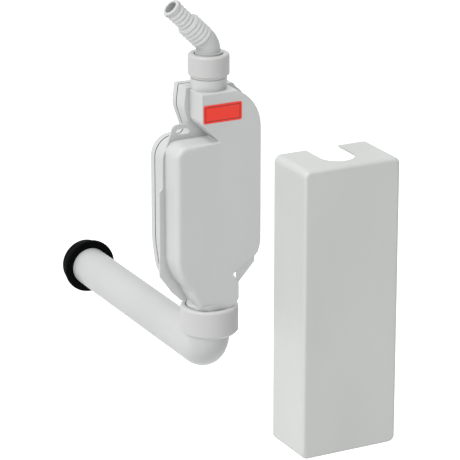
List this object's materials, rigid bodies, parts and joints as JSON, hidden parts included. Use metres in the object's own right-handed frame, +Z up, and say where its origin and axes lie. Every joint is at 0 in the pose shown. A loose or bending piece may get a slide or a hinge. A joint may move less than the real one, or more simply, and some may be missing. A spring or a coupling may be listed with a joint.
{
  "type": "washing machine waste trap",
  "caption": "Wall-mounted appliance waste trap: flat two-shell housing, stepped barbed hose elbow, union nuts, long angled outlet pipe with a rubber wall collar, and a loose box cover.",
  "frame": {"origin": "on the wall face, at the middle of the housing's back, in the plane of the inlet and outlet axis", "axes": "+X to the right along the wall, +Y into the wall, +Z up"},
  "size_m": [0.2462, 0.3298, 0.4816],
  "materials": {
    "grey_plastic": "light grey polypropylene, fine matt",
    "nut_plastic": "light grey polypropylene, smoother",
    "black_rubber": "black moulded rubber",
    "red_label": "printed red label, bare"
  },
  "bodies": {
    "root": {"hose_nozzle": "grey_plastic", "nozzle_union_nut": "nut_plastic", "nozzle_gasket": "black_rubber", "front_shell": "grey_plastic", "housing_seal": "black_rubber", "rear_shell": "grey_plastic", "outlet_union_nut": "nut_plastic", "outlet_seal_ring": "black_rubber", "outlet_bend": "grey_plastic", "wall_collar": "black_rubber", "label_plate": "red_label", "cover": "grey_plastic"}
  },
  "joints": []
}
